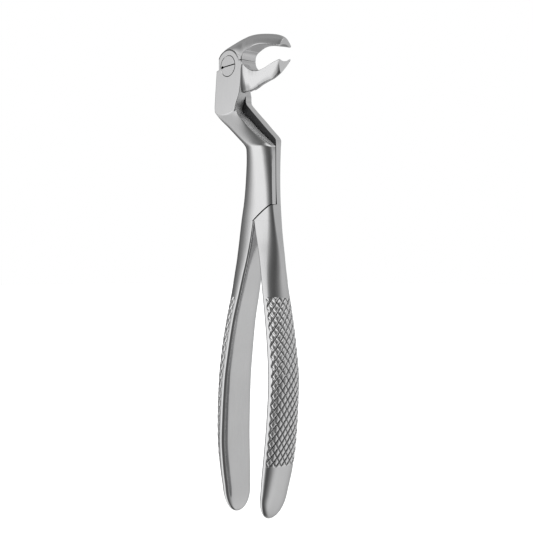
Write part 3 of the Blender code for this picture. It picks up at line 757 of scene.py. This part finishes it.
def upper_beak():
    """The upper beak, with its root over the disc of the rear cheek."""
    rings = []
    root = [JOINT_LEFT - 0.17, *np.linspace(-5.15, -3.5, 12), *np.linspace(-3.2, 8.9, 40)]
    for x in [*root, *beak_stations(UPPER_REACH)]:
        tall, wide, pinch = nose(x, UPPER_REACH)
        base = smooth([*ROOT_BASE, *UPPER_INNER[1:]], x)
        crest = base + (smooth([*ROOT_CREST, *UPPER_OUTER], x) - base) * tall
        half = smooth(UPPER_HALF_WIDTH, x) * wide
        taper = smooth(UPPER_TAPER, x) + pinch
        rings.append(d_ring(x, base, crest, half, smooth(UPPER_POWER, x), taper, lambda x, z: x))
    return loft("upper_beak_form", rings)


# ---- joint ----
def turned(points, angle):
    """Points in (x, z), turned about the hinge axis by an angle in degrees."""
    c = math.cos(math.radians(angle))
    s = math.sin(math.radians(angle))
    return [(c * x - s * z, s * x + c * z) for x, z in points]


def throat_cutter(name):
    """What is cut out between the beaks' roots, wider at both faces so that the edges are soft."""
    mouth = rounded(THROAT, 12)
    edges = [(-CHEEK_HALF - past, grow) for past, grow in THROAT_GROWTH]
    edges += [(-y, grow) for y, grow in edges[::-1]]
    return loft(name, [[(x, y, z) for x, z in inset(mouth, -grow)] for y, grow in edges])


def turned_solid(name, profile, steps=128):
    """A solid of revolution about the hinge axis, from its radius at each y."""
    turns = [2 * math.pi * i / steps for i in range(steps)]
    return loft(name, [[(r * math.cos(t), y, r * math.sin(t)) for t in turns] for r, y in profile])


def screw_hole(name, grow):
    """The hole for the screw, larger than it by this much all round, with a soft edge at its head."""
    step = -CHEEK_HALF + SCREW_HEAD_DEPTH + grow
    rim = SCREW_HEAD_RADIUS + grow
    profile = [
        (rim + 1.12, -CHEEK_HALF - 1), (rim, -CHEEK_HALF + 0.12), (rim, step),
        (SCREW_SHANK_RADIUS + grow, step), (SCREW_SHANK_RADIUS + grow, CHEEK_HALF + 1),
    ]
    return turned_solid(name, profile)


def front_half():
    """The cheek with its disc, the lower beak, the room for the rear half, and the arm."""
    before = set(bpy.data.objects)
    disc = [(max(x, JOINT_LEFT), z) for x, z in arc(DISC_RADIUS, *FRONT_DISC)]
    cheek = disc + CHEEK_LEFT + rounded(CHEEK_END) + rounded(CHEEK_RIGHT, 5)
    cheek += [(ROOT_END, 0.3), (ROOT_END, SPLIT_Z - RUN_GAP)]
    body = slab("front_half_steel", cheek, -CHEEK_HALF, CHEEK_HALF, bevel_low=True)
    cut(body, screw_hole("front_screw_hole", RUN_GAP))
    cut(body, lower_beak(), "UNION")
    notch = turned([(x + RUN_GAP, z) for x, z in REAR_NECK], OPENING + OPENING_ROOM)
    space = arc(DISC_RADIUS + DISC_LINE, *ROOM_IN_FRONT_HALF)
    space += [(-SWING, 2), (-SWING, SWING_LOW), (SWING, SWING_LOW), *notch[::-1]]
    cut(body, slab("rear_half_swing", space, -LAP_GAP, CHEEK_HALF + 3))
    corner = [(5.2, 1.0), (5.2, 2.6), *LAP_CORNER, (6.3, 1.0)]
    cut(body, slab("lap_corner", corner, -CHEEK_HALF + 0.02, -LAP_GAP), "UNION")
    arm = arm_and_handle("front_arm_form", FRONT_OUTER, FRONT_ARM_INNER, FRONT_HANDLE_INNER, 1)
    cut(body, arm, "UNION")
    cut(body, throat_cutter("front_throat"))
    body = finished(body, before)
    for face in body.data.polygons:
        on_neck = SATIN_CHEEK_LOW < face.center.z * 1000 - PIVOT_Z < SATIN_TOP
        faces_rear_arm = face.normal.x > 0.6 and face.center.y < 0
        if on_neck and faces_rear_arm and face.material_index == POLISHED:
            face.material_index = SATIN
    return body


def rear_half():
    """The root of the upper beak with its disc, the beak, the room for the front half, and the arm."""
    before = set(bpy.data.objects)
    top = rounded(ROOT_BASE, 10)
    throat = [(ROOT_END, SPLIT_Z + RUN_GAP)]
    right = arc(DISC_RADIUS, *REAR_DISC, 40)
    neck = [(4.9, -3.6), (4.2, -5.5), (4.0, -8.0), (4.3, -11.5)]
    end = [(4.4, -13.6), (3.6, -15.2), (1.6, -16.1), (-0.8, -16.2), (-3.0, -15.7), (-4.7, -14.4)]
    left = [(-5.3, -12.5), (-5.15, -6.0), (JOINT_LEFT, 0.0)]
    outline = [*top, *throat, *right, *neck, *rounded(end), *left]
    body = slab("rear_half_steel", outline, -CHEEK_HALF, CHEEK_HALF, bevel_high=True)
    cut(body, screw_hole("rear_screw_hole", RUN_GAP / 2))
    cut(body, upper_beak(), "UNION")
    corner = [(x + RUN_GAP, z + 2 * RUN_GAP) for x, z in LAP_CORNER[::-1]]
    space = [*corner, *arc(DISC_RADIUS + DISC_LINE, *ROOM_IN_REAR_HALF)]
    space += [(-SWING, 3), (-SWING, SWING_LOW), (SWING, SWING_LOW), (SWING, SPLIT_Z + RUN_GAP)]
    cut(body, slab("front_half_swing", space, -CHEEK_HALF - 3, LAP_GAP))
    arm = arm_and_handle("rear_arm_form", REAR_OUTER, REAR_ARM_INNER, REAR_HANDLE_INNER, -1)
    cut(body, arm, "UNION")
    cut(body, throat_cutter("rear_throat"))
    return finished(body, before)


def pivot_screw():
    """The screw, flush with both cheeks, with its slot and a punched mark at the slot's end."""
    before = set(bpy.data.objects)
    face = -CHEEK_HALF
    step = -CHEEK_HALF + SCREW_HEAD_DEPTH
    head = [(0.001, face), (SCREW_HEAD_RADIUS - 0.1, face), (SCREW_HEAD_RADIUS, face + 0.12)]
    shank = [(SCREW_HEAD_RADIUS, step), (SCREW_SHANK_RADIUS, step), (SCREW_SHANK_RADIUS, CHEEK_HALF - 0.1)]
    profile = [*head, *shank, (SCREW_SHANK_RADIUS - 0.1, CHEEK_HALF), (0.001, CHEEK_HALF)]
    body = turned_solid("pivot_screw_steel", profile)
    half = SCREW_SLOT_WIDTH / 2
    corners = turned([(-4.5, -half), (4.5, -half), (4.5, half), (-4.5, half)], SCREW_SLOT_TILT)
    cut(body, slab("screw_slot", corners, -CHEEK_HALF - 1, -CHEEK_HALF + SCREW_SLOT_DEPTH))
    mark_x, mark_z = turned([(PUNCH_PLACE, 0.0)], SCREW_SLOT_TILT)[0]
    ring = [(mark_x + x, mark_z + z) for x, z in arc(PUNCH_MARK, 0, 350, 24)]
    cut(body, slab("punch_mark", ring, -CHEEK_HALF - 1, -CHEEK_HALF + PUNCH_DEPTH))
    return finished(body, before)


# ---- pieces ----
def dress(obj, body, node_name, finish, inner_shade_finish, is_inner):
    """Gives a piece its body and its materials, with a darker, rougher finish for its inner faces that
    paints the shade in them.
    """
    finishes = [finish, inner_shade_finish, *FINISHES[2:]]
    kinds = [face.material_index for face in obj.data.polygons]
    obj.data.materials.clear()
    for each in finishes:
        obj.data.materials.append(each)
    for face, kind in zip(obj.data.polygons, kinds):
        face.material_index = RELIEVED_PAINTED_SHADE if is_inner(face.center * 1000, face.normal) else kind
    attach(obj, body)
    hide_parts(node_name)


def mates(centre, normal):
    """Whether a face is part of the mating faces between the halves."""
    return abs(centre.y) < LAP_GAP + 0.02 and abs(normal.y) > 0.95


def in_slot(centre, normal):
    """Whether a face is inside the screw's slot or its mark."""
    middle = math.hypot(centre.x - PIVOT_X, centre.z - PIVOT_Z) < SCREW_HEAD_RADIUS - 0.02
    return middle and -CHEEK_HALF + 0.02 < centre.y < 0


dress(front_half(), "front", "front_half", polished, relieved_painted_shade, mates)
dress(rear_half(), "rear", "rear_half", polished, relieved_painted_shade, mates)
dress(pivot_screw(), "rear", "pivot_screw", screw_finish, slot_shade, in_slot)

# ---- studio ----
# What the object mirrors, as brightness by compass direction: 0 is the screw's side, 90 the beaks' side.
# The rings run from straight below to straight above and blend into each other between these heights.
BLEND_STARTS = (-80, -62, -32, 0, 20)  # degrees above the horizon
BLEND_ENDS = (-64, -42, -6, 30, 42)
NADIR = 0.08  # under the lowest ring
BOTTOM = [
    (-180, 0.35), (-100, 0.45), (-60, 0.75), (-20, 0.5), (20, 0.12), (90, 0.10), (150, 0.14),
    (180, 0.35),
]
BELOW = [
    (-180, 0.46), (-150, 0.36), (-120, 0.46), (-90, 0.68), (-60, 0.95), (-36, 1.10), (-22, 0.85),
    (-8, 0.42), (12, 0.14), (45, 0.105), (66, 0.16), (90, 0.28), (108, 0.46), (125, 0.62), (142, 0.63),
    (165, 0.52), (180, 0.46),
]
LEVEL = [
    (-180, 0.50), (-158, 0.46), (-135, 0.26), (-112, 0.13), (-98, 0.115), (-80, 0.17), (-66, 0.28),
    (-55, 0.58), (-46, 0.96), (-38, 1.32), (-29, 1.42), (-21, 1.15), (-12, 0.60), (0, 0.25),
    (14, 0.125), (34, 0.09), (52, 0.10), (72, 0.18), (95, 0.32), (118, 0.52), (138, 0.58), (160, 0.53),
    (180, 0.50),
]
ABOVE = [
    (-180, 0.46), (-150, 0.38), (-115, 0.30), (-85, 0.34), (-62, 0.40), (-45, 0.32), (-25, 0.20),
    (10, 0.14), (50, 0.12), (90, 0.18), (120, 0.33), (150, 0.46), (180, 0.48),
]
TOP = [
    (-180, 0.50), (-150, 0.44), (-120, 0.32), (-60, 0.34), (-35, 0.21), (-12, 0.17), (8, 0.5),
    (30, 1.1), (60, 1.5), (95, 1.1), (130, 0.62), (180, 0.50),
]


def set_ramp(ramp, stops):
    """Gives a colour ramp these greys, as (position, value)."""
    while len(ramp.elements) > 1:
        ramp.elements.remove(ramp.elements[-1])
    ramp.elements[0].position = stops[0][0]
    ramp.elements[0].color = (*[stops[0][1]] * 3, 1)
    for position, value in stops[1:]:
        ramp.elements.new(position).color = (value, value, value, 1)


def eased_node(tree, value, low, high):
    """0 to 1, eased, as the value goes from low to high."""
    made = node(tree, "ShaderNodeMapRange", interpolation_type="SMOOTHSTEP")
    made.inputs["From Min"].default_value = low
    made.inputs["From Max"].default_value = high
    tree.links.new(value, made.inputs["Value"])
    return made.outputs["Result"]


def blend(tree, share, first, second):
    """Two values, mixed by a share from 0, the first, to 1, the second."""
    made = node(tree, "ShaderNodeMix", data_type="FLOAT")
    tree.links.new(share, made.inputs[0])
    feed(tree, made.inputs[2], first)
    feed(tree, made.inputs[3], second)
    return made.outputs[0]


def world_light():
    """The rings, blended by height, with a white backdrop where the world is seen directly."""
    world = bpy.data.worlds.new("studio")
    world.use_nodes = True
    bpy.context.scene.world = world
    tree = world.node_tree
    direction = node(tree, "ShaderNodeTexCoord").outputs["Generated"]
    parts = node(tree, "ShaderNodeSeparateXYZ")
    tree.links.new(direction, parts.inputs["Vector"])
    front = math_node(tree, "MULTIPLY", parts.outputs["Y"], -1.0)
    compass = math_node(tree, "ARCTAN2", parts.outputs["X"], front)
    around = math_node(tree, "MULTIPLY_ADD", compass, 0.5 / math.pi, 0.5)
    rings = []
    for stops in (BOTTOM, BELOW, LEVEL, ABOVE, TOP):
        ring = node(tree, "ShaderNodeValToRGB")
        ring.color_ramp.interpolation = "CARDINAL"
        set_ramp(ring.color_ramp, [((angle + 180) / 360, value) for angle, value in stops])
        tree.links.new(around, ring.inputs["Fac"])
        rings.append(ring.outputs["Color"])
    height = math_node(tree, "ARCSINE", parts.outputs["Z"])
    light = NADIR
    for ring, start, end in zip(rings, BLEND_STARTS, BLEND_ENDS):
        share = eased_node(tree, height, math.radians(start), math.radians(end))
        light = blend(tree, share, light, ring)
    seen = node(tree, "ShaderNodeLightPath").outputs["Is Camera Ray"]
    background = tree.nodes["Background"]
    background.inputs["Color"].default_value = (1, 1, 1, 1)
    tree.links.new(blend(tree, seen, light, 1.0), background.inputs["Strength"])


def pale_floor():
    """A floor that is as pale as the backdrop and that the steel doesn't mirror."""
    bpy.ops.mesh.primitive_plane_add(size=8.0)
    floor = bpy.context.object
    floor.name = "studio_floor"
    material = bpy.data.materials.new("pale_floor")
    material.use_nodes = True
    shader = material.node_tree.nodes["Principled BSDF"]
    shader.inputs["Base Color"].default_value = (0.9, 0.9, 0.9, 1)
    shader.inputs["Roughness"].default_value = 0.9
    shader.inputs["Emission Color"].default_value = (1, 1, 1, 1)
    shader.inputs["Emission Strength"].default_value = 0.92
    floor.data.materials.append(material)
    floor.visible_glossy = False


CAMERA_PLACE = (284.438, -262.374, -73.915)  # mm from the hinge axis and the mating plane
CAMERA_TURN = 45.6  # degrees round from the hinge axis
CAMERA_LENS = 70.38


def camera():
    """A level camera, about midway between the screw's side and the beaks' side."""
    data = bpy.data.cameras.new("camera")
    data.sensor_width = 36.0
    data.lens = CAMERA_LENS
    data.clip_start = 0.01
    obj = bpy.data.objects.new("camera", data)
    bpy.context.scene.collection.objects.link(obj)
    x, y, z = CAMERA_PLACE
    obj.location = ((x + PIVOT_X) / 1000, y / 1000, (z + PIVOT_Z) / 1000)
    obj.rotation_euler = (math.radians(90), 0, math.radians(CAMERA_TURN))
    bpy.context.scene.camera = obj


world_light()
pale_floor()
camera()
bpy.context.scene.view_settings.view_transform = "Standard"
